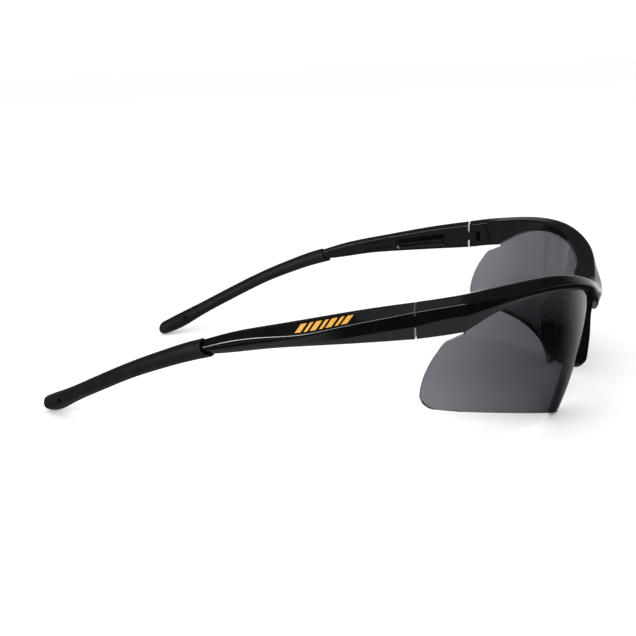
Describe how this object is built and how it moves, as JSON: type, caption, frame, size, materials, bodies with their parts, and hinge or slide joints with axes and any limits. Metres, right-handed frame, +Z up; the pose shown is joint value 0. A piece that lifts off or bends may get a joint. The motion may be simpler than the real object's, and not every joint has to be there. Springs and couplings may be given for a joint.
{
  "type": "safety glasses",
  "caption": "Wrap-around safety glasses with smoke lenses hung from a glossy brow bar, folding temples with rubber sleeves, and soft nose pads.",
  "frame": {"origin": "on the table under the middle of the open glasses' bounding box", "axes": "+Z up, the lenses face -Y, the temples run to +Y, +X is the wearer's left"},
  "size_m": [0.1454, 0.1702, 0.0466],
  "materials": {
    "glossy_black": "glossy",
    "smoke_lens": "clear tinted",
    "pad_rubber": "satin",
    "sleeve_rubber": "matte",
    "steel": "satin"
  },
  "bodies": {
    "frame": {"brow_frame": "glossy_black", "left_lens": "smoke_lens", "right_lens": "smoke_lens", "left_nose_pad": "pad_rubber", "right_nose_pad": "pad_rubber", "left_hinge_screw": "steel", "right_hinge_screw": "steel"},
    "left_temple_arm": {"left_temple": "glossy_black", "left_temple_sleeve": "sleeve_rubber"},
    "right_temple_arm": {"right_temple": "glossy_black", "right_temple_sleeve": "sleeve_rubber"}
  },
  "joints": [
    {"name": "left_temple_fold", "type": "hinge", "parent": "frame", "child": "left_temple_arm", "pos_m": [0.067, -0.0392, 0.03785], "axis": [0, 0, 1], "range_deg": [0, 90]},
    {"name": "right_temple_fold", "type": "hinge", "parent": "frame", "child": "right_temple_arm", "pos_m": [-0.067, -0.0392, 0.03785], "axis": [0, 0, -1], "range_deg": [0, 84]}
  ]
}
